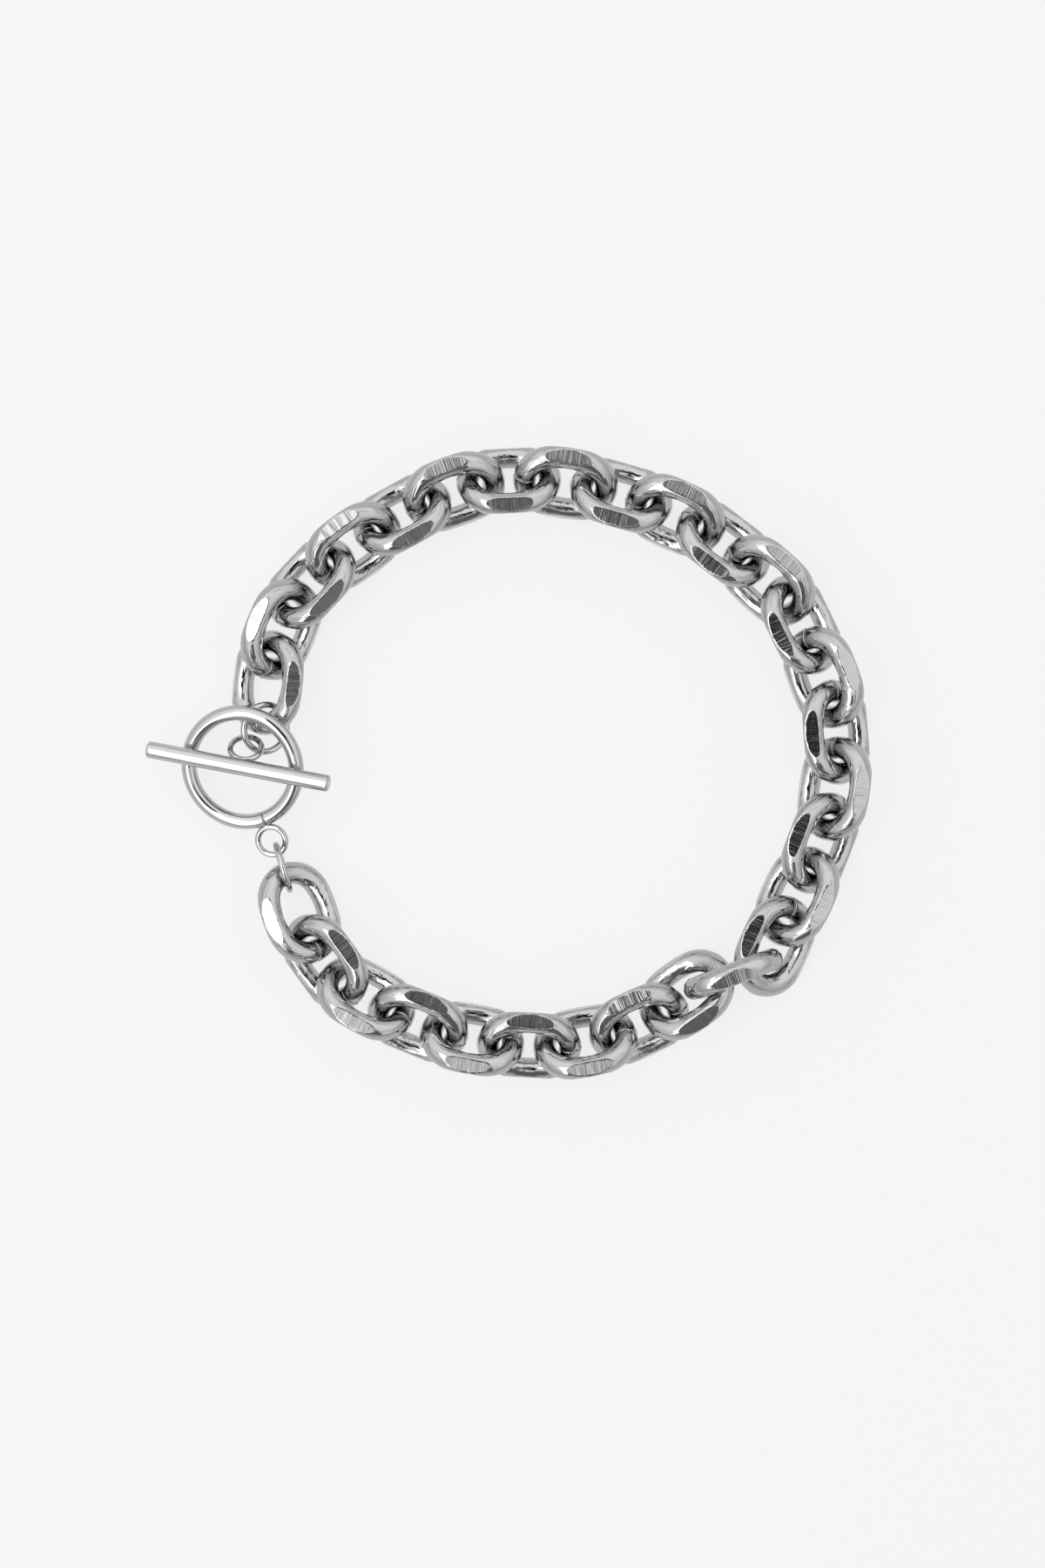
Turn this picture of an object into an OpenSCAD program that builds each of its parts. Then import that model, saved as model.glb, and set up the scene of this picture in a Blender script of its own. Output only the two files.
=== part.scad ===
// Link bracelet of thick steel links whose sides are filed flat along the corners. It lies
// closed, with its toggle bar across its toggle ring. Seen from above, +X is to the right and
// +Y is up the picture. The floor is z = 0, and the origin lies on it under the bracelet's middle.

/* [Links] */
// Length of a link over its round ends
link_length = 12.1; // [11.6:0.1:13]
// Width of a link over its sides, before they are filed
link_width = 9.8; // [9.3:0.1:10.5]
// Thickness of a link's wire
link_wire = 2.6; // [2.2:0.05:2.65]
// Radius that a link's long sides bow to, along the middle of the wire
side_radius = 8; // [7.5:0.1:10]
// Width of the flats filed along the corners of each side
flat_width = 1.65; // [1:0.05:2]

/* [Lie of the chain] */
// How far each link is rolled from lying flat, one link to one side and the next to the other
link_roll = 38.5; // [38:0.5:42]
// Play along the chain where two links meet in a straight line
link_play = 0.22; // [0.15:0.01:0.35]
// Play added for each degree that the chain bends there
bend_play = 0.012; // [0.01:0.001:0.02]
// How much higher the links lie that have their outer side up
outer_lift = 0.18; // [0.1:0.01:0.25]

/* [Toggle] */
// Outer diameter of the toggle ring
ring_outer = 14.6; // [13.5:0.1:16]
// Thickness of the toggle ring's wire
ring_wire = 1.75; // [1.5:0.05:2]
// How far the toggle ring leans, with its side at the first link up
ring_lean = 20; // [16:1:24]
// Length of the toggle bar
bar_length = 21.8; // [19:0.1:25]
// Thickness of the toggle bar
bar_d = 1.95; // [1.6:0.05:2.2]
// Bevel around the ends of the toggle bar
bar_bevel = 0.18; // [0.05:0.01:0.4]
// Outer diameter of the loop soldered to the toggle bar
bar_loop_outer = 4.3; // [4:0.05:4.8]
// Outer diameter of the loop soldered to the toggle ring
ring_loop_outer = 4; // [3.6:0.05:4.4]
// Thickness of the wire of both soldered loops
loop_wire = 0.7; // [0.6:0.05:0.8]

/* [Jump rings] */
// Outer diameter of the jump rings
jump_outer = 6.2; // [6.1:0.05:6.8]
// Thickness of the jump rings' wire
jump_wire = 0.75; // [0.6:0.05:0.8]

/* [Fits] */
// Gap left between pieces that lie on or hang in one another
clearance = 0.1; // [0.08:0.01:0.15]
// How deep the soldered loops run into the metal that holds them
solder_depth = 0.15; // [0.1:0.01:0.2]

/* [Hidden] */
$fn = 72;

// Turn in degrees of each link from the one before it, along the chain's route
TURNS = [0, -16, -21, -11, -7, -9, -17, -11, -8, -8, -13, -5, -22, -5, -16, -13, -13, -4, 1,
         -45, 14, -10, -14, -14, -7, -12, -7, -25, -16];
// Heading of the first link
first_heading = 84;
link_count = len(TURNS);

// Links that don't lie like the rest: at the clasp's two ends and where the chain turns over.
// Each row has the link's number, its roll, the rise of its nose and its lift as a share of the
// wire, and then for the link after it the play, as a share of the room that two neighbours
// leave inside a link, and how far it lies aside, as a share of the wire.
ODD_LINKS = [
    [1, -34, 0, 0, 0.32, 0],
    [18, 36, 1, 0.02, 0.36, 0],
    [19, -33, 3, 0.15, 0.45, -0.42],
    [20, 92, 1, -0.06, 0.61, -0.12],
    [21, 33, -9, 0.13, 0.31, 0.07],
    [22, -35, 0, 0, 0.19, 0.03],
    [29, 32, -3, 0, 0.32, 0]
];
NUMBER = 0;
ROLL = 1;
RISE = 2;
LIFT = 3;
PLAY = 4;
ASIDE = 5;
// The link that stands on edge, after which the other links have their outer side up
turnover = [for (row = ODD_LINKS) if (row[ROLL] > 45) row[NUMBER]][0];

// The link: four arcs of wire, and the planes that its corners are filed to
half_length = (link_length - link_wire) / 2;
half_width = (link_width - link_wire) / 2;
end_radius = (side_radius^2 - (side_radius - half_width)^2 - half_length^2)
    / (2 * (side_radius - half_length));
side_angle = atan((half_length - end_radius) / (side_radius - half_width));
flat_reach = half_width * cos(45) + sqrt(link_wire^2 - flat_width^2) / 2;
// The ends keep a hair more thickness than the sides, which run this far into them
end_step = 0.02;
lap_angle = 1.2;
longest_pitch = link_length - 2 * link_wire;
inside_room = link_length - 4 * link_wire;

// How far a link's filed side reaches from its long axis, at an angle to the link's plane
function filed(p) =
    let (over = max(0, (p.x + abs(p.y)) * cos(45) - flat_reach) * cos(45))
    [p.x - over, p.y - sign(p.y) * over];
function reach(angle) = max([for (a = [0:3:357])
    filed([half_width + link_wire / 2 * cos(a), link_wire / 2 * sin(a)]) * [cos(angle), sin(angle)]]);

// What row of ODD_LINKS a link has, if any, and how it lies
function odd(i, column, usual) =
    let (rows = [for (row = ODD_LINKS) if (row[NUMBER] == i + 1) row[column]])
    len(rows) > 0 ? rows[0] : usual;
function usual_roll(i) = (i % 2 == 0) == (i < turnover) ? -link_roll : link_roll;
function roll(i) = odd(i, ROLL, usual_roll(i));
function rise(i) = odd(i, RISE, 0);
function height(i) = reach(90 - abs(roll(i))) + sin(abs(rise(i))) * (half_length - end_radius)
    + (roll(i) > 0 ? outer_lift : 0) + odd(i, LIFT, 0) * link_wire;

// Directions, sums along a list, and a point carried along by a piece's three turns
function dir(a) = [cos(a), sin(a)];
function heading_of(v) = atan2(v.y, v.x);
function turned(v, a) = [v.x * cos(a) - v.y * sin(a), v.x * sin(a) + v.y * cos(a)];
function plan(p) = [p.x, p.y];
function sums(list, start) =
    [for (i = 0, total = start; i <= len(list);
          total = total + (i < len(list) ? list[i] : 0 * total), i = i + 1) total];
function swung(p, turns) =
    let (a = turned([p.y, p.z], turns.x))
    let (b = turned([p.x, a.y], -turns.y))
    let (c = turned([b.x, a.x], turns.z))
    [c.x, c.y, b.y];

// The toggle ring's own frame: its plane leans about a line that runs down to the right
ring_turn = -45;
ring_radius = (ring_outer - ring_wire) / 2;
function in_ring_frame(p) = swung(p, [ring_lean, 0, ring_turn]);

// The bar lies on the ring, a little off its middle, and its loop hangs below the ring's plane
bar_turn = 36;
bar_off_middle = 0.3 * bar_d;
bar_rest = (ring_wire + bar_d) / 2 + clearance;
bar_loop_radius = (bar_loop_outer - loop_wire) / 2;
bar_loop_drop = 59;
bar_loop_reach = bar_d / 2 + bar_loop_outer / 2 - solder_depth;
bar_middle = [-bar_off_middle * sin(bar_turn), bar_off_middle * cos(bar_turn), bar_rest];
bar_loop_middle = bar_middle
    + bar_loop_reach * swung([0, 1, 0], [-bar_loop_drop, 0, bar_turn]);

// The loop soldered to the ring, in the ring's plane
ring_loop_angle = -25;
ring_loop_radius = (ring_loop_outer - loop_wire) / 2;
ring_loop_reach = ring_outer / 2 + ring_loop_outer / 2 - solder_depth;
ring_loop_middle = ring_loop_reach * [cos(ring_loop_angle), sin(ring_loop_angle), 0];

// The jump rings hang in the soldered loops and hold the ends of the chain, seen from above.
// A share is what is taken up of the room in a loop or a jump ring, and an angle its direction.
jump_radius = (jump_outer - jump_wire) / 2;
link_room = jump_radius - (jump_wire + link_wire) / 2 - clearance;
bar_loop_room = bar_loop_radius - (loop_wire + jump_wire) / 2 - clearance;
ring_loop_room = ring_loop_radius - (loop_wire + jump_wire) / 2 - clearance;
first_jump_share = 0.47;
first_jump_angle = 47;
first_link_share = 0.58;
first_link_angle = 114;
last_jump_share = 0.72;
last_link_share = 0.82;
last_angle = -67;
first_jump_plan = plan(in_ring_frame(bar_loop_middle))
    + (jump_radius + first_jump_share * bar_loop_room) * dir(first_jump_angle);
first_end_plan = first_jump_plan + first_link_share * link_room * dir(first_link_angle);
last_jump_plan = plan(in_ring_frame(ring_loop_middle))
    + (jump_radius + last_jump_share * ring_loop_room) * dir(last_angle);
last_end_plan = last_jump_plan + last_link_share * link_room * dir(last_angle);

// The route: headings with all turns scaled alike, and the middles of the links along them
function headings(scale) = sums([for (i = [1:link_count - 1]) scale * TURNS[i]], first_heading);
function usual_play(h, i) = (link_play + bend_play * abs(h[i + 1] - h[i])) / inside_room;
function play(h, i) = odd(i, PLAY, usual_play(h, i)) * inside_room;
function way(h, i) =
    let (ahead = (dir(h[i]) + dir(h[i + 1])) / 2)
    ahead * (longest_pitch - play(h, i)) + turned(ahead, 90) * odd(i, ASIDE, 0) * link_wire;
function middles(h) = sums([for (i = [0:link_count - 2]) way(h, i)], [0, 0]);
function ends_apart(h) =
    middles(h)[link_count - 1] + half_length * (dir(h[link_count - 1]) + dir(h[0]));

// The turns are scaled until the chain's ends are as far apart as the clasp holds them
clasp_span = last_end_plan - first_end_plan;
function closing_scale(low, high, rounds) =
    let (mid = (low + high) / 2)
    rounds == 0 ? mid
    : norm(ends_apart(headings(mid))) > norm(clasp_span) ? closing_scale(mid, high, rounds - 1)
    : closing_scale(low, mid, rounds - 1);
closed = headings(closing_scale(0.8, 1.1, 24));
swing = heading_of(clasp_span) - heading_of(ends_apart(closed));
link_heading = [for (h = closed) h + swing];
first_middle = first_end_plan + half_length * dir(link_heading[0]);
link_plan = [for (p = middles(link_heading)) first_middle + p];

// Heights of the clasp: the toggle ring clears the first link's end, the bar lies on the ring,
// and the jump rings lean from the links that they hold to the loops that they hang in
function first_link_point(p) =
    swung(p, [roll(0), -rise(0), link_heading[0]]) + [first_middle.x, first_middle.y, height(0)];
first_end_arc = [for (a = [100:5:260])
    first_link_point([end_radius * cos(a) - half_length + end_radius, end_radius * sin(a), 0])];
ring_arc = [for (a = [45:3:135]) in_ring_frame(ring_radius * [cos(a), sin(a), 0])];
ring_need = (link_wire + ring_wire) / 2 + clearance;
ring_z = max([for (low = first_end_arc, high = ring_arc)
    let (apart = norm(plan(low - high)))
    if (apart < ring_need) sqrt(ring_need^2 - apart^2) + low.z - high.z]);
bar_loop_z = ring_z + in_ring_frame(bar_loop_middle).z;
ring_loop_z = ring_z + in_ring_frame(ring_loop_middle).z;
first_jump_z = first_link_point([-half_length, 0, 0]).z;
under_share = 0.34;
first_jump_turn = 73;
first_jump_across = turned(plan(in_ring_frame(bar_loop_middle)) - first_jump_plan, -first_jump_turn).y;
first_jump_rise = bar_loop_z - under_share * bar_loop_room - first_jump_z;
first_jump_lean = atan(first_jump_rise / first_jump_across);
last_jump_turn = -73;
last_jump_lean = 88;
last_jump_z = jump_radius * sin(last_jump_lean) + jump_wire / 2;

// Middle of the bracelet, from its outermost links and the bar's free end
function side_reach(i, way) =
    let (off = abs(sin(link_heading[i] - way - 90)))
    reach(abs(roll(i))) * sqrt(1 - off^2) + half_length * off;
function furthest(way) =
    max([for (i = [0:link_count - 1]) link_plan[i] * dir(way) + side_reach(i, way)]);
bar_end = in_ring_frame(bar_middle - swung([bar_length / 2, 0, bar_d / 2], [0, 0, bar_turn]));
middle = [(furthest(0) + bar_end.x) / 2, (furthest(90) - furthest(-90)) / 2];

LINKS = [for (i = [1:link_count]) str(i < 10 ? "link_0" : "link_", i)];

module wire_arc(radius, wire, from, to) {
    rotate([0, 0, from]) rotate_extrude(angle = to - from) translate([radius, 0]) circle(d = wire);
}

module wire_ring(radius, wire) {
    rotate_extrude() translate([radius, 0]) circle(d = wire);
}

module link_ends() {
    for (side = [0, 180]) rotate([0, 0, side]) translate([half_length - end_radius, 0, 0])
        wire_arc(end_radius, link_wire + end_step, side_angle - 90, 90 - side_angle);
}

module link_sides() {
    for (side = [0, 180]) rotate([0, 0, side]) translate([0, half_width - side_radius, 0])
        wire_arc(side_radius, link_wire, 90 - side_angle - lap_angle, 90 + side_angle + lap_angle);
}

module link_solid() {
    link_ends();
    difference() {
        link_sides();
        for (corner = [45, 135, 225, 315]) rotate([corner, 0, 0])
            translate([-link_length / 2, flat_reach, -link_width / 2])
                cube([link_length, link_wire, link_width]);
    }
}

module link(i) {
    color(i % 2 == 0 ? "silver" : "gainsboro")
        translate([link_plan[i].x - middle.x, link_plan[i].y - middle.y, height(i)])
            rotate([roll(i), -rise(i), link_heading[i]])
                link_solid();
}

module in_ring_place() {
    translate([-middle.x, -middle.y, ring_z]) rotate([ring_lean, 0, ring_turn]) children();
}

module toggle_ring() {
    color("lightgray") in_ring_place() {
        wire_ring(ring_radius, ring_wire);
        translate(ring_loop_middle) wire_ring(ring_loop_radius, loop_wire);
    }
}

module toggle_bar() {
    color("whitesmoke") in_ring_place() translate(bar_middle) rotate([0, 0, bar_turn]) {
        for (side = [0, 180]) rotate([0, 0, side]) rotate([0, 90, 0]) {
            cylinder(d = bar_d, h = bar_length / 2 - bar_bevel);
            translate([0, 0, bar_length / 2 - bar_bevel])
                cylinder(d1 = bar_d, d2 = bar_d - 2 * bar_bevel, h = bar_bevel);
        }
        rotate([-bar_loop_drop, 0, 0]) translate([0, bar_loop_reach, 0])
            wire_ring(bar_loop_radius, loop_wire);
    }
}

module jump_ring(place, z, lean, turn) {
    color("gainsboro") translate([place.x - middle.x, place.y - middle.y, z])
        rotate([lean, 0, turn]) wire_ring(jump_radius, jump_wire);
}

module jump_ring_bar() {
    jump_ring(first_jump_plan, first_jump_z, first_jump_lean, first_jump_turn);
}

module jump_ring_ring() {
    jump_ring(last_jump_plan, last_jump_z, last_jump_lean, last_jump_turn);
}

for (i = [0:link_count - 1]) link(i);
toggle_ring();
toggle_bar();
jump_ring_bar();
jump_ring_ring();
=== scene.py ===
# Link bracelet of thick polished steel links with filed flats, closed with its toggle clasp.
# The links, rings and bar are remade here with softened edges, seams, solder and filed flats, each in
# the place of its plain solid. All sizes in the dictionaries are in millimetres.
import math
import random

import bpy
import numpy as np
from mathutils import Matrix, Vector


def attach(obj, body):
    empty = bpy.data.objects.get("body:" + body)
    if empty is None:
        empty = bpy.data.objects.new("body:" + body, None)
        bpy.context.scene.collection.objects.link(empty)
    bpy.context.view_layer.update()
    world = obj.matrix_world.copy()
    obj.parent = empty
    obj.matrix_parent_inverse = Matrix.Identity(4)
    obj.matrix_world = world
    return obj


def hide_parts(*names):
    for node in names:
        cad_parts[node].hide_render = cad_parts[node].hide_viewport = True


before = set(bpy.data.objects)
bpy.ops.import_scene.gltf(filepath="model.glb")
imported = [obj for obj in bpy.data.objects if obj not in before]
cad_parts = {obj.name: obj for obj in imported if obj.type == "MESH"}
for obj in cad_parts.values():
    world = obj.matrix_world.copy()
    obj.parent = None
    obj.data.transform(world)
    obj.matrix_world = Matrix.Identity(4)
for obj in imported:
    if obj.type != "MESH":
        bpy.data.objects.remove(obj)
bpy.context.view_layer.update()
mm = 0.001
up = np.array([0, 0, 1.0])


# Colours and nodes

def linear(hexColour, alpha=1.0):
    parts = [int(hexColour[i:i + 2], 16) / 255 for i in (1, 3, 5)]
    return [p / 12.92 if p <= 0.04045 else ((p + 0.055) / 1.055) ** 2.4 for p in parts] + [alpha]


def addNode(tree, kind, settings=None, **links):
    node = tree.nodes.new(kind)
    for key, value in (settings or {}).items():
        if hasattr(node, key):
            setattr(node, key, value)
        else:
            node.inputs[key].default_value = value
    for key, source in links.items():       # i0 and i1 are the first and the second input
        numbered = key[0] == "i" and key[1:].isdigit()
        tree.links.new(source, node.inputs[int(key[1:]) if numbered else key])
    return node


def newMaterial(name):
    material = bpy.data.materials.new(name)
    material.use_nodes = True
    material.node_tree.nodes.clear()
    return material, material.node_tree


# Stainless steel wire, drawn through a die, bent and tumbled bright: a mirror broken into long bands by
# the die's shallow furrows along the wire, with a slow wave from the bending. The real furrows are
# finer than a tenth of a millimetre, so most are drawn half a millimetre apart, with faint hairlines
# between. Clouds of a millimetre are a little less bright, where the tumbling media reached less.
polished = {"colour": "#ACACAC", "roughLow": 0.05, "roughHigh": 0.12, "cloudsPerMm": 0.9,
            "wave": 2.4, "waveHeight": 0.05, "furrow": 0.5, "furrowLength": 9.0, "furrowHeight": 0.075,
            "hair": 0.16, "hairHeight": 0.003}

# The clasp's wire is finer drawn and polished brighter: a cleaner mirror with fainter bands.
bright = {"colour": "#B4B4B4", "roughLow": 0.04, "roughHigh": 0.09, "cloudsPerMm": 0.9,
          "wave": 3.0, "waveHeight": 0.02, "furrow": 0.5, "furrowLength": 14.0, "furrowHeight": 0.02,
          "hair": 0.16, "hairHeight": 0.0015}


def polishedSteel(name, look):
    material, tree = newMaterial(name)
    place = addNode(tree, "ShaderNodeTexCoord").outputs["Object"]
    onWire = addNode(tree, "ShaderNodeUVMap", {"uv_map": "wire"}).outputs["UV"]
    cloud = addNode(tree, "ShaderNodeTexNoise", {"Scale": look["cloudsPerMm"] / mm, "Detail": 3.0},
                    Vector=place)
    roughRange = {"From Min": 0.35, "From Max": 0.7,        # nearly all of the noise lies between these
                  "To Min": look["roughLow"], "To Max": look["roughHigh"]}
    rough = addNode(tree, "ShaderNodeMapRange", roughRange, Value=cloud.outputs["Fac"])
    wave = addNode(tree, "ShaderNodeTexNoise", {"Scale": 1 / (look["wave"] * mm), "Detail": 1.0},
                   Vector=place)
    normal = addNode(tree, "ShaderNodeBump", {"Strength": 1.0, "Distance": look["waveHeight"] * mm},
                     Height=wave.outputs["Fac"]).outputs["Normal"]
    for spacing, height in ((look["furrow"], look["furrowHeight"]), (look["hair"], look["hairHeight"])):
        stretched = addNode(tree, "ShaderNodeMapping",
                            {"Scale": (1 / look["furrowLength"], 1 / spacing, 1)}, Vector=onWire)
        furrow = addNode(tree, "ShaderNodeTexNoise", {"Scale": 1.0, "Detail": 1.0},
                         Vector=stretched.outputs["Vector"])
        normal = addNode(tree, "ShaderNodeBump", {"Strength": 1.0, "Distance": height * mm},
                         Height=furrow.outputs["Fac"], Normal=normal).outputs["Normal"]
    steel = {"Base Color": linear(look["colour"]), "Metallic": 1.0}
    shader = addNode(tree, "ShaderNodeBsdfPrincipled", steel, Roughness=rough.outputs["Result"],
                     Normal=normal)
    addNode(tree, "ShaderNodeOutputMaterial", Surface=shader.outputs["BSDF"])
    return material


# The same steel where the flats are filed across the link on a fine belt and not polished again:
# straight lines side by side across the flat, which spread what it mirrors along the link. The real
# lines are about 0.05 mm apart, too fine to show, so they are drawn 0.17 mm apart with finer between.
filedFlat = {"colour": "#ADADAD", "roughLow": 0.07, "roughHigh": 0.15,
             "lineSpacing": 0.17, "lineLength": 3.85, "lineHeight": 0.024,
             "fineSpacing": 0.08, "fineLength": 2.38, "fineHeight": 0.002}


def filedSteel(name, look):
    material, tree = newMaterial(name)
    plan = addNode(tree, "ShaderNodeUVMap", {"uv_map": "plan"}).outputs["UV"]
    lineScale = (1 / look["lineSpacing"], 1 / look["lineLength"], 1)
    linePlace = addNode(tree, "ShaderNodeMapping", {"Scale": lineScale}, Vector=plan)
    lines = addNode(tree, "ShaderNodeTexNoise", {"Scale": 1.0, "Detail": 1.0, "Roughness": 0.6},
                    Vector=linePlace.outputs["Vector"])
    fineScale = (1 / look["fineSpacing"], 1 / look["fineLength"], 1)
    finePlace = addNode(tree, "ShaderNodeMapping", {"Scale": fineScale}, Vector=plan)
    fine = addNode(tree, "ShaderNodeTexNoise", {"Scale": 1.0, "Detail": 2.0},
                   Vector=finePlace.outputs["Vector"])
    roughRange = {"From Min": 0.3, "From Max": 0.7,         # nearly all of the noise lies between these
                  "To Min": look["roughLow"], "To Max": look["roughHigh"]}
    rough = addNode(tree, "ShaderNodeMapRange", roughRange, Value=fine.outputs["Fac"])
    lineBump = addNode(tree, "ShaderNodeBump", {"Strength": 1.0, "Distance": look["lineHeight"] * mm},
                       Height=lines.outputs["Fac"])
    fineBump = addNode(tree, "ShaderNodeBump", {"Strength": 1.0, "Distance": look["fineHeight"] * mm},
                       Height=fine.outputs["Fac"], Normal=lineBump.outputs["Normal"])
    steel = {"Base Color": linear(look["colour"]), "Metallic": 1.0}
    shader = addNode(tree, "ShaderNodeBsdfPrincipled", steel, Roughness=rough.outputs["Result"],
                     Normal=fineBump.outputs["Normal"])
    addNode(tree, "ShaderNodeOutputMaterial", Surface=shader.outputs["BSDF"])
    return material


linkPolish = polishedSteel("steel_tumbled_polished", polished)
claspPolish = polishedSteel("steel_bright_polished", bright)
linkFiled = filedSteel("steel_filed_flat", filedFlat)
print("materials made")


# Where each plain solid lies

def solidAxes(node):
    # A solid's points, centre and main axes, shortest spread first, each triangle weighted by its area
    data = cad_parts[node].data
    data.calc_loop_triangles()
    points = np.array([v.co for v in data.vertices], float) / mm
    corners = points[np.array([t.vertices[:] for t in data.loop_triangles])]
    edges = np.cross(corners[:, 1] - corners[:, 0], corners[:, 2] - corners[:, 0])
    area = np.linalg.norm(edges, axis=1) / 2
    centre = (corners.mean(1) * area[:, None]).sum(0) / area.sum()
    off = corners - centre
    spread = sum((o.T * area) @ o for o in (off[:, 0], off[:, 1], off[:, 2], off.sum(1))) / area.sum()
    return points, centre, np.linalg.eigh(spread)[1].T


def facing(axis, direction):
    return axis if axis @ direction >= 0 else -axis


def towardsLoop(points, centre, axis):
    # The soldered loop stands out furthest from the centre, so the axis is turned to that side
    reach = (points - centre) @ axis
    return -axis if reach.max() < -reach.min() else axis


def matrixOf(xAxis, zAxis, centre):
    matrix = np.eye(4)
    matrix[:3, :3] = np.stack([xAxis, np.cross(zAxis, xAxis), zAxis], 1)
    matrix[:3, 3] = np.array(centre) * mm
    return Matrix(matrix.tolist())


def shifted(x, y, z):
    return Matrix.Translation((x * mm, y * mm, z * mm))


# Meshes from rows of points

def wirePart(rows, closed, slots=None):
    # Joins each row of points to the next. A closed wire's last row is joined to its first, and an
    # open one's ends are shut with one point each. Every corner of a face keeps its place on the wire
    # in millimetres, along it and around it.
    rows = np.array(rows)
    count, around = rows.shape[:2]
    points = rows.reshape(-1, 3)
    middles = rows.mean(1)
    along = np.append(0, np.cumsum(np.linalg.norm(np.roll(middles, -1, 0) - middles, axis=1)))
    about = np.append(0, np.cumsum(np.linalg.norm(np.roll(rows, -1, 1) - rows, axis=2).mean(0)))
    row, column = np.meshgrid(np.arange(count if closed else count - 1), np.arange(around), indexing="ij")
    corners = ((row, column), (row, column + 1), (row + 1, column + 1), (row + 1, column))
    faces = np.stack([r % count * around + c % around for r, c in corners], -1).reshape(-1, 4)
    places = np.stack([np.stack([along[r], about[c]], -1) for r, c in corners], -2).reshape(-1, 4, 2)
    if closed:      # the rings' rows follow each other the other way, so their faces are turned outwards
        faces, places = faces[:, ::-1], places[:, ::-1]
    faces, places = faces.tolist(), places.reshape(-1, 2).tolist()
    slots = [0] * len(faces) if slots is None else np.array(slots).ravel().tolist()
    if not closed:
        first, last = len(points), len(points) + 1
        points = np.vstack([points, middles[0], middles[-1]])
        base = (count - 1) * around
        for i in range(around):
            faces += [[first, (i + 1) % around, i], [last, base + i, base + (i + 1) % around]]
            places += [[0, about[i]], [0.1, about[i + 1]], [0.1, about[i]]] * 2
            slots += [0, 0]
    return points, faces, places, slots


def steelMesh(name, parts, materials, number=0):
    # One mesh out of wire parts, each with the matrix that puts it in its place. Its surface pattern
    # is laid out twice in millimetres: "wire" follows the wire, "plan" is seen from straight above
    # the piece. Both begin 30 mm further for each number, so that no two links have the same marks.
    points, faces, places, slots = [], [], [], []
    for (partPoints, partFaces, partPlaces, partSlots), matrix in parts:
        start = len(points)
        points += [matrix @ Vector(p * mm) for p in partPoints]
        faces += [[start + i for i in face] for face in partFaces]
        places += partPlaces
        slots += partSlots
    mesh = bpy.data.meshes.new(name)
    mesh.from_pydata(points, [], faces)
    for material in materials:
        mesh.materials.append(material)
    mesh.polygons.foreach_set("material_index", np.array(slots, np.int32))
    mesh.polygons.foreach_set("use_smooth", [True] * len(faces))
    plan = np.array([points[i][:2] for face in faces for i in face]) / mm
    for layer, corners in (("wire", np.array(places)), ("plan", plan)):
        corners = corners + [30 * number, 0]
        mesh.uv_layers.new(name=layer).data.foreach_set("uv", corners.astype(np.float32).ravel())
    mesh.update()
    return mesh


def addPiece(name, mesh, matrix, node):
    mesh.transform(matrix)
    piece = bpy.data.objects.new(name, mesh)
    bpy.context.scene.collection.objects.link(piece)
    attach(piece, "root")
    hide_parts(node)


def softer(a, b, blend):
    # The smaller of two distances, with the edge between them rounded
    h = np.clip(0.5 + 0.5 * (b - a) / blend, 0, 1)
    return b * (1 - h) + a * h - blend * h * (1 - h)


def seamRows(angles, seamAt, halfSeam, steps, clear):
    # Each row's angle in degrees, with the share of the butt seam's depth that is cut there. Even rows
    # closer to the seam than clear make way for its own, whose steps are shares of half its width.
    even = [(angle, 0) for angle in angles if abs((angle - seamAt + 180) % 360 - 180) > clear]
    seam = [((seamAt + side * step * halfSeam) % 360, cut) for step, cut in steps for side in (-1, 1)]
    return sorted(even + seam)


# The links: four arcs of wire, the long sides filed to flats along their corners

link = {"count": 29, "length": 12.1, "width": 9.8, "wire": 2.6, "sideRadius": 8.0, "flatWidth": 1.65,
        "edgeRound": 0.02,          # rounding of the flats' edges
        "edgeWander": 0.045,        # how far those edges wander, in radians around the wire
        "flatWave": 0.0036,         # how far a flat is from level
        "flatLevel": 0.01,          # how much deeper or less deep one flat is filed than the next
        "seamWidth": 0.12, "seamDepth": 0.25, "seamWander": 7,     # the last in degrees from the tail
        "seamSteps": ((0.8, 1), (1, 0.25), (1.6, 0.06), (3, 0)), "seamClear": 2.2}

# How finely a link is drawn: its rows on a round end, on a filed side and on the short bend between
# them, and its columns across a flat, on the outer side between the flats and on the inner side
linkGrid = {"endRows": 30, "bendRows": 8, "sideRows": 56, "bendAngle": 9,
            "flatColumns": 13, "outerColumns": 3, "innerColumns": 34,
            "edgeAngle": 0.016,     # half the angle between the two columns on a flat's edge
            "leastAngle": 0.1,      # half a flat's angle that keeps its columns where the flat runs out
            "filedAngle": 0.12}     # half a flat's angle from which it has the filed finish

# Each flat has a number: 0 and 1 are the lower and upper ones on the link's left, 2 and 3 on its right.
# These few were filed some degrees off the corner, towards the link's face, or left round.
offCorner = {1: {3: 4.5}, 19: {3: 5}, 20: {3: -16}}
leftRound = {20: [2]}

linkRadius = link["wire"] / 2
halfLength = (link["length"] - link["wire"]) / 2
halfWidth = (link["width"] - link["wire"]) / 2
sideRadius = link["sideRadius"]
endRadius = (sideRadius ** 2 - (sideRadius - halfWidth) ** 2 - halfLength ** 2) / (
    2 * (sideRadius - halfLength))
sideHalf = math.degrees(math.atan2(halfLength - endRadius, sideRadius - halfWidth))
corner = math.sqrt(0.5)
flatReach = halfWidth * corner + math.sqrt(link["wire"] ** 2 - link["flatWidth"] ** 2) / 2


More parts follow.
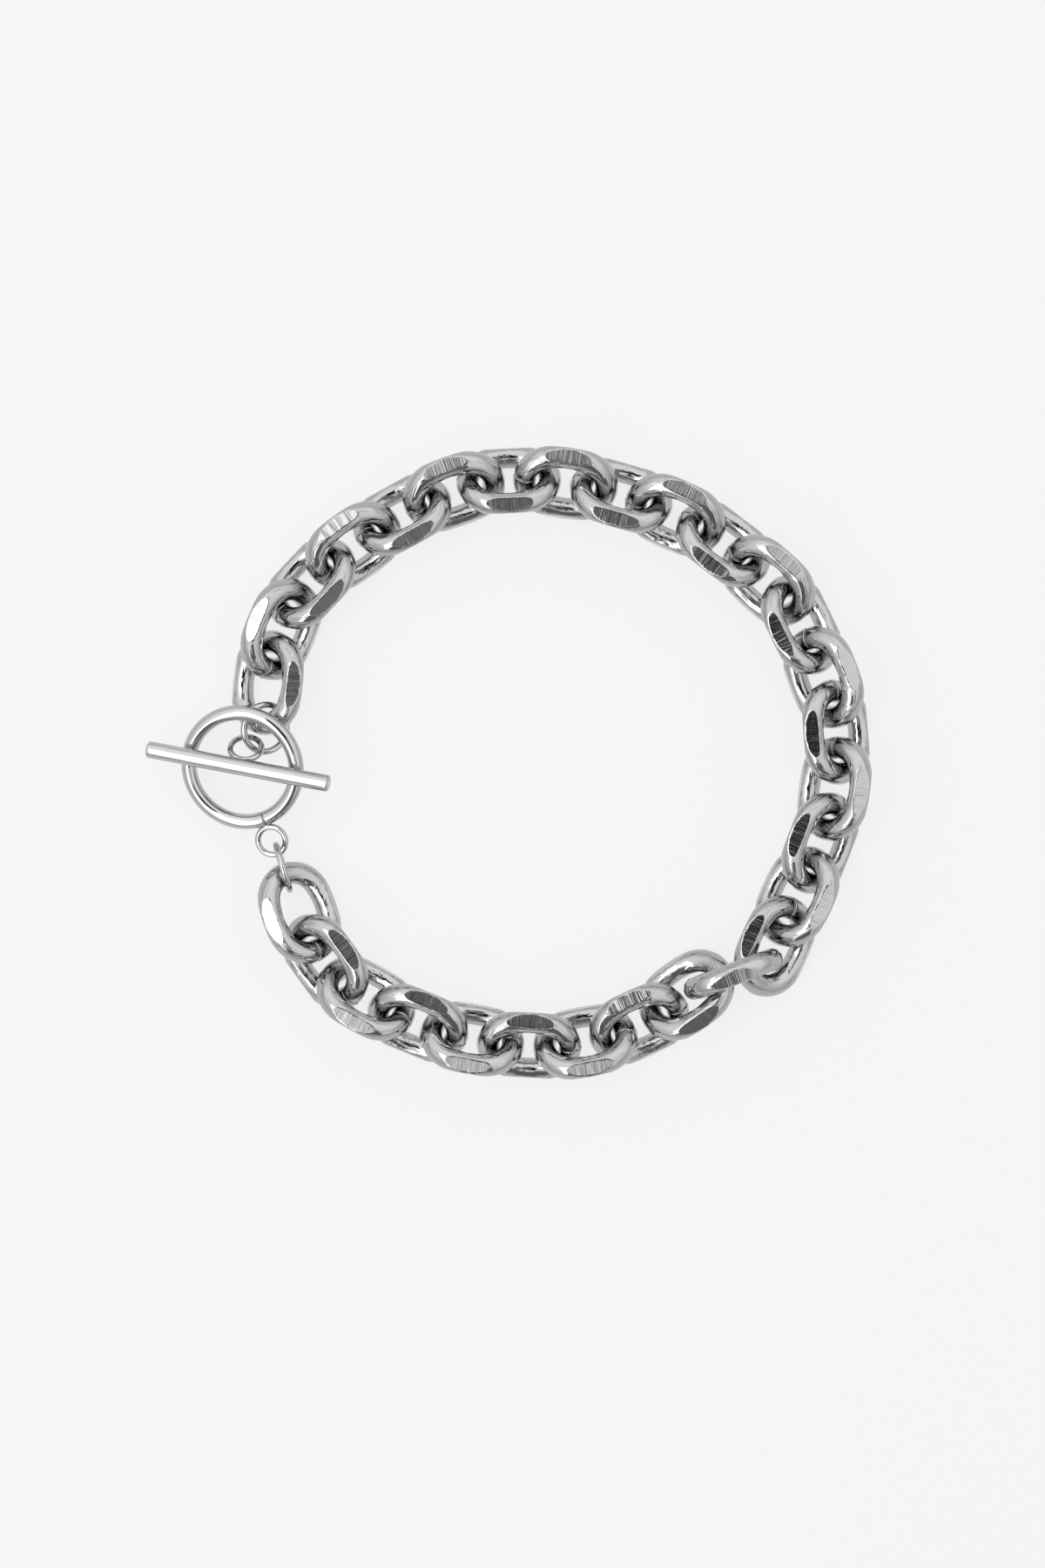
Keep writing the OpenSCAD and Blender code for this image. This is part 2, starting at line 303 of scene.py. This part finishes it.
def linkRows(seamAt):
    # Directions around the link, in degrees from its nose, closer together on the filed sides
    toSide, bend = 90 - sideHalf, linkGrid["bendAngle"]
    spans = ((bend - toSide, toSide - bend, linkGrid["endRows"]),
             (toSide - bend, toSide, linkGrid["bendRows"]),
             (toSide, 180 - toSide, linkGrid["sideRows"]),
             (180 - toSide, 180 - toSide + bend, linkGrid["bendRows"]))
    angles = [turn + angle for turn in (0, 180) for start, end, count in spans
              for angle in np.linspace(start, end, count, endpoint=False)]
    halfSeam = math.degrees(link["seamWidth"] / 2 / endRadius)
    return seamRows(angles, seamAt, halfSeam, link["seamSteps"], link["seamClear"])


def linkPath(angle):
    # The middle of the wire in one direction, and the direction itself
    outward = np.array([math.cos(math.radians(angle)), math.sin(math.radians(angle)), 0])
    if abs(angle % 180 - 90) < sideHalf:
        arcCentre = np.array([0, math.copysign(halfWidth - sideRadius, -outward[1]), 0])
        return arcCentre + sideRadius * outward, outward
    arcCentre = np.array([math.copysign(halfLength - endRadius, outward[0]), 0, 0])
    return arcCentre + endRadius * outward, outward


def flatSpans(path, outward, number, edgeWaves, levels):
    # The lower and the upper flat at one row: the angle of its middle around the wire, its depth from
    # the wire's middle, half its width as an angle, and the wander of its two edges
    sideways = abs(outward[1])
    middle = math.atan2(1, sideways)
    lower = 0 if outward[1] >= 0 else 2
    spans = []
    for flat, sign in ((lower, -1), (lower + 1, 1)):
        wander = [sum(size * math.sin(pace * path[0] + start) for pace, start, size in waves)
                  for waves in edgeWaves[2 * flat:2 * flat + 2]]
        depth = (flatReach - corner * abs(path[1])) / (corner * math.hypot(sideways, 1))
        depth += link["flatWave"] * wander[0] + levels[flat]
        if flat in leftRound.get(number, []):
            depth = linkRadius * 1.01
        half = math.acos(depth / linkRadius) if depth < linkRadius else 0.0
        off = math.radians(offCorner.get(number, {}).get(flat, 0))
        spans.append((sign * (middle + off), depth, half, [link["edgeWander"] * w for w in wander]))
    return spans


def between(low, high, count):
    return list(np.linspace(low, high, count + 2)[1:-1])


def acrossFlat(low, high):
    edge = linkGrid["edgeAngle"]
    return [low - edge, low + edge] + between(low, high, linkGrid["flatColumns"]) + [high - edge, high + edge]


def columnAngles(spans):
    # Angles around the wire: the lower flat, the outer side, the upper flat and the inner side
    edges = []
    for middle, _, half, wander in spans:
        shown = max(half, linkGrid["leastAngle"])
        edges += [middle - shown + wander[0], middle + shown + wander[1]]
    outer = between(edges[1], edges[2], linkGrid["outerColumns"])
    inner = between(edges[3], edges[0] + 2 * math.pi, linkGrid["innerColumns"])
    return np.array(acrossFlat(*edges[:2]) + outer + acrossFlat(*edges[2:]) + inner)


def surfaceReach(columns, spans):
    # How far the surface lies from the wire's middle at each column
    reach = np.full(len(columns), linkRadius)
    for middle, depth, _, _ in spans:
        tilt = np.cos(columns - middle)
        near = tilt > 0.3           # a flat's plane doesn't cut the wire's other side
        plane = np.where(near, depth / np.where(near, tilt, 1), link["wire"] * 3)
        reach = softer(reach, plane, link["edgeRound"])
    return reach


def filedColumns(columns, spans):
    # Which faces of a row lie on a flat
    middles = (columns + np.append(columns[1:], columns[0] + 2 * math.pi)) / 2
    filed = np.zeros(len(columns), int)
    for middle, _, half, _ in spans:
        off = (middles - middle + math.pi) % (2 * math.pi) - math.pi
        filed |= (np.abs(off) < half) & (half > linkGrid["filedAngle"])
    return filed


def linkMesh(name, number):
    dice = random.Random(100 + number)
    seamAt = 180 + dice.uniform(-1, 1) * link["seamWander"]
    # Five waves for each of the two edges of the four flats: radians per millimetre, start and size
    edgeWaves = [[(2 * dice.uniform(0.5, 3.2), dice.uniform(0, 6.3), dice.uniform(0.4, 1))
                  for _ in range(5)] for _ in range(8)]
    levels = [dice.uniform(-1, 1) * link["flatLevel"] for _ in range(4)]
    rows, filed = [], []
    for angle, cut in linkRows(seamAt):
        path, outward = linkPath(angle)
        spans = flatSpans(path, outward, number, edgeWaves, levels)
        columns = columnAngles(spans)
        reach = surfaceReach(columns, spans) - cut * link["seamDepth"]
        across = np.cos(columns)[:, None] * outward + np.sin(columns)[:, None] * up
        rows.append(path + reach[:, None] * across)
        filed.append(filedColumns(columns, spans))
    whole = [(wirePart(rows, True, filed), Matrix.Identity(4))]
    return steelMesh(name, whole, (linkPolish, linkFiled), number)


linkNodes = [f"link_{i + 1:02d}" for i in range(link["count"])]
placed = [solidAxes(node) for node in linkNodes]
centres = [p[1] for p in placed]
for i, node in enumerate(linkNodes):
    ahead = centres[min(i + 1, link["count"] - 1)] - centres[max(i - 1, 0)]
    shortest, _, longest = placed[i][2]
    mesh = linkMesh(node + "_steel", i + 1)
    addPiece(node + "_steel", mesh, matrixOf(facing(longest, ahead), facing(shortest, up), centres[i]),
             node)
print("links made")


# Rings of wire

ringSeamSteps = ((0.85, 1), (1.05, 0.25), (1.7, 0.05), (3.4, 0))


def ringRows(outer, wire, seam=None, stations=160, around=40):
    # A ring of wire lying flat, with its butt seam if it shows one
    radius = (outer - wire) / 2
    angles = np.linspace(0, 360, stations, endpoint=False)
    stops = [(angle, 0) for angle in angles]
    if seam:
        halfSeam = math.degrees(seam["width"] / 2 / radius)
        stops = seamRows(angles, seam["at"], halfSeam, ringSeamSteps, 4 * halfSeam)
    about = np.linspace(0, 2 * math.pi, around, endpoint=False)[:, None] - math.pi / 2
    rows = []
    for angle, cut in stops:
        outward = np.array([math.cos(math.radians(angle)), math.sin(math.radians(angle)), 0])
        reach = wire / 2 - (cut * seam["depth"] if seam else 0)
        rows.append(radius * outward + reach * (np.cos(about) * outward + np.sin(about) * up))
    return rows


jumpRing = {"outer": 6.2, "wire": 0.75, "seamWidth": 0.05, "seamDepth": 0.1,
            "seamAt": {"jump_ring_bar": 200, "jump_ring_ring": 20}}
for node, seamAt in jumpRing["seamAt"].items():
    _, centre, axes = solidAxes(node)
    seam = {"at": seamAt, "width": jumpRing["seamWidth"], "depth": jumpRing["seamDepth"]}
    rows = ringRows(jumpRing["outer"], jumpRing["wire"], seam)
    mesh = steelMesh(node + "_steel", [(wirePart(rows, True), Matrix.Identity(4))], (claspPolish,))
    addPiece(node + "_steel", mesh, matrixOf(axes[2], np.cross(axes[2], axes[1]), centre), node)
print("jump rings made")


def solderDrop(size, stations=24, around=32):
    # A drop of solder, wide along x, drawn from rows of points
    about = np.linspace(0, 2 * math.pi, around, endpoint=False)
    rows = []
    for a in math.pi * np.linspace(0.04, 0.96, stations):
        rows.append(np.stack([np.full(around, -math.cos(a)) * size[0], math.sin(a) * np.cos(about) * size[1],
                              math.sin(a) * np.sin(about) * size[2]], 1))
    return rows


# The toggle ring and the loop soldered to it

toggleRing = {"outer": 14.6, "wire": 1.75, "seam": {"at": 2.6, "width": 0.12, "depth": 0.3},
              "loopOuter": 4.0, "loopWire": 0.7,
              "solderDepth": 0.15,          # how deep the loop runs into the ring
              "solder": (0.62, 0.34, 0.36), "solderOut": 0.12}     # its size, and how far out it sits
points, centre, axes = solidAxes("toggle_ring")
toLoop = towardsLoop(points, centre, axes[2])
ringCentre = centre + toLoop * (((points - centre) @ toLoop).min() + toggleRing["outer"] / 2)
ringWire = ringRows(toggleRing["outer"], toggleRing["wire"], toggleRing["seam"], 220, 56)
loopWire = ringRows(toggleRing["loopOuter"], toggleRing["loopWire"], None, 90, 32)
loopAt = (toggleRing["outer"] + toggleRing["loopOuter"]) / 2 - toggleRing["solderDepth"]
solderAt = toggleRing["outer"] / 2 + toggleRing["solderOut"]
mesh = steelMesh("toggle_ring_steel", [
    (wirePart(ringWire, True), Matrix.Identity(4)),
    (wirePart(loopWire, True), shifted(loopAt, 0, 0)),
    (wirePart(solderDrop(toggleRing["solder"]), False),
     shifted(solderAt, 0, 0) @ Matrix.Rotation(math.pi / 2, 4, "Z"))], (claspPolish,))
addPiece("toggle_ring_steel", mesh, matrixOf(toLoop, facing(axes[0], up), ringCentre), "toggle_ring")
print("toggle ring made")


# The toggle bar and the loop soldered to its middle

toggleBar = {"length": 21.8, "wire": 1.95, "bevel": 0.18, "around": 72,
             # Points along and out from the bevel's inner and outer corners, which round them
             "innerCorner": ((0, -0.03), (0.008, 0), (0.02, 0.015)),
             "outerCorner": ((-0.03, -0.03), (0, -0.006), (0.03, 0)),
             "endMiddle": 0.25, "firstRow": 0.6, "halfRows": 12,
             "loopOuter": 4.3, "loopWire": 0.7, "loopSeam": {"at": 98, "width": 0.05, "depth": 0.08},
             "solderDepth": 0.15, "solder": (0.75, 0.36, 0.34), "solderOut": 0.12}
points, centre, axes = solidAxes("toggle_bar")
barAxis = axes[2]
toLoop = towardsLoop(points, centre, np.cross(axes[0], barAxis))
barCentre = centre + toLoop * (((points - centre) @ toLoop).min() + toggleBar["wire"] / 2)
halfBar, barRadius, bevel = toggleBar["length"] / 2, toggleBar["wire"] / 2, toggleBar["bevel"]
profile = [(-halfBar, toggleBar["endMiddle"])]
profile += [(-halfBar + x, barRadius - bevel + r) for x, r in toggleBar["innerCorner"]]
profile += [(-halfBar + bevel + x, barRadius + r) for x, r in toggleBar["outerCorner"]]
plainRows = np.linspace(-halfBar + toggleBar["firstRow"], 0, toggleBar["halfRows"])[:-1]
profile += [(x, barRadius) for x in plainRows]
profile = profile + [(0, barRadius)] + [(-x, r) for x, r in reversed(profile)]
about = np.linspace(0, 2 * math.pi, toggleBar["around"], endpoint=False)
barRows = [np.stack([np.full(len(about), x), r * np.cos(about), r * np.sin(about)], 1) for x, r in profile]
loopWire = ringRows(toggleBar["loopOuter"], toggleBar["loopWire"], toggleBar["loopSeam"], 96, 32)
loopAt = barRadius + toggleBar["loopOuter"] / 2 - toggleBar["solderDepth"]
mesh = steelMesh("toggle_bar_steel", [
    (wirePart(barRows, False), Matrix.Identity(4)),
    (wirePart(loopWire, True), shifted(0, loopAt, 0)),
    (wirePart(solderDrop(toggleBar["solder"]), False), shifted(0, barRadius + toggleBar["solderOut"], 0))],
    (claspPolish,))
addPiece("toggle_bar_steel", mesh, matrixOf(barAxis, np.cross(barAxis, toLoop), barCentre), "toggle_bar")
print("toggle bar made")


# What stands around the bracelet

def stageSheet(name, material, outline, height):
    mesh = bpy.data.meshes.new(name)
    mesh.from_pydata([(x * mm, y * mm, height * mm) for x, y in outline], [], [list(range(len(outline)))])
    mesh.materials.append(material)
    sheet = bpy.data.objects.new(name, mesh)
    bpy.context.scene.collection.objects.link(sheet)
    return sheet


# Floor: a sheet of opal acrylic lit from below, so that it stays an even pale grey under the bracelet

floorLook = {"glowColour": "#F5F5F5", "glow": 0.884, "colour": "#444444", "roughness": 0.6, "size": 4000}
material, tree = newMaterial("opal_acrylic")
acrylic = {"Base Color": linear(floorLook["colour"]), "Roughness": floorLook["roughness"],
           "Emission Color": linear(floorLook["glowColour"]), "Emission Strength": floorLook["glow"]}
shader = addNode(tree, "ShaderNodeBsdfPrincipled", acrylic)
addNode(tree, "ShaderNodeOutputMaterial", Surface=shader.outputs["BSDF"])
half = floorLook["size"] / 2
stageSheet("floor", material, [(-half, -half), (half, -half), (half, half), (-half, half)], 0)

# Light: a white tent, dimmer towards its foot and a little brighter on its north side, with a long
# soft box to the west and a brighter strip before it

tent = {"colour": "#FFFFFF", "foot": 0.76, "top": 1.4, "footHeight": 0.12, "topHeight": 0.7,
        "northGain": 0.16}
world = bpy.data.worlds.new("light_tent")
bpy.context.scene.world = world
world.use_nodes = True
tree = world.node_tree
tree.nodes.clear()
direction = addNode(tree, "ShaderNodeTexCoord").outputs["Generated"]
parts = addNode(tree, "ShaderNodeSeparateXYZ", Vector=direction)
northward = {"From Min": -1.0, "From Max": 1.0, "To Min": 1 - tent["northGain"],
             "To Max": 1 + tent["northGain"]}
sides = addNode(tree, "ShaderNodeMapRange", northward, Value=parts.outputs["Y"])
upward = {"interpolation_type": "SMOOTHSTEP", "From Min": tent["footHeight"],
          "From Max": tent["topHeight"], "To Min": tent["foot"], "To Max": tent["top"]}
walls = addNode(tree, "ShaderNodeMapRange", upward, Value=parts.outputs["Z"])
both = addNode(tree, "ShaderNodeMath", {"operation": "MULTIPLY"}, i0=sides.outputs["Result"],
               i1=walls.outputs["Result"])
background = addNode(tree, "ShaderNodeBackground", {"Color": linear(tent["colour"])},
                     Strength=both.outputs["Value"])
addNode(tree, "ShaderNodeOutputWorld", Surface=background.outputs["Background"])

softBoxes = {"west_box": {"at": (-429, -500, 645), "size": (320, 1400), "turn": -11, "radiance": 1.7},
             "west_strip": {"at": (-367, -180, 640), "size": (100, 740), "turn": -11, "radiance": 2.1}}
for name, box in softBoxes.items():
    lamp = bpy.data.lights.new(name, "AREA")
    lamp.shape = "RECTANGLE"
    lamp.size, lamp.size_y = box["size"][0] * mm, box["size"][1] * mm
    lamp.energy = box["radiance"] * math.pi * lamp.size * lamp.size_y
    lampObject = bpy.data.objects.new(name, lamp)
    bpy.context.scene.collection.objects.link(lampObject)
    lampObject.matrix_world = shifted(*box["at"]) @ Matrix.Rotation(math.radians(box["turn"]), 4, "Z")

# Above the bracelet hang the camera, the arm it is fixed to and the cloth over its stand. They darken
# what the steel mirrors from straight above and from the south, and the camera looks through them.
# All three are covered in dull felt, which adds no gleam of its own.
darkSheets = {
    "camera_body": {"felt": "felt_black", "colour": "#202020", "height": 640, "outline": (
        (-95, -225), (-50, -225), (-50, -170), (-20, -170), (-28, -120), (-52, -72), (-34, -42), (20, -42),
        (100, 0), (112, 45), (95, 62), (0, 62), (-34, 120), (-50, 188), (-105, 188), (-105, 140),
        (-135, 100), (-135, -100), (-95, -140))},
    "camera_arm": {"felt": "felt_pale_grey", "colour": "#A4A4A4", "height": 650, "outline": (
        (40, 340), (140, 230), (150, 150), (190, 60), (190, -60), (230, -220), (265, -320), (85, -320),
        (85, -190), (-80, -190), (-90, -20), (-90, 200), (-60, 290))},
    "stand_cloth": {"felt": "felt_grey", "colour": "#868686", "height": 650, "outline": (
        (270, -335), (300, -400), (400, -620), (480, -900), (800, -1900), (-600, -1900), (-380, -900),
        (-250, -620), (-180, -400), (-160, -335))}}
for name, look in darkSheets.items():
    material, tree = newMaterial(look["felt"])
    felt = {"Base Color": linear(look["colour"]), "Roughness": 1.0, "Specular IOR Level": 0.0}
    shader = addNode(tree, "ShaderNodeBsdfPrincipled", felt)
    addNode(tree, "ShaderNodeOutputMaterial", Surface=shader.outputs["BSDF"])
    stageSheet(name, material, look["outline"], look["height"]).visible_camera = False
print("floor and light made")

# Camera: straight down, as in the photograph, 120 mm of width in the frame at the links' height

cameraLook = {"centre": (1.21, -2.38), "distance": 600, "linkHeight": 3.3, "frameHeight": 180,
              "sensor": 36, "clip": (10, 10000)}
camera = bpy.data.cameras.new("camera")
camera.sensor_fit = "AUTO"
camera.sensor_width = cameraLook["sensor"]
camera.lens = cameraLook["sensor"] * cameraLook["distance"] / cameraLook["frameHeight"]
camera.clip_start, camera.clip_end = [distance * mm for distance in cameraLook["clip"]]
cameraObject = bpy.data.objects.new("camera", camera)
bpy.context.scene.collection.objects.link(cameraObject)
cameraHeight = cameraLook["distance"] + cameraLook["linkHeight"]
cameraObject.matrix_world = shifted(*cameraLook["centre"], cameraHeight)
bpy.context.scene.camera = cameraObject
bpy.context.scene.view_settings.view_transform = "Standard"
print("camera made")
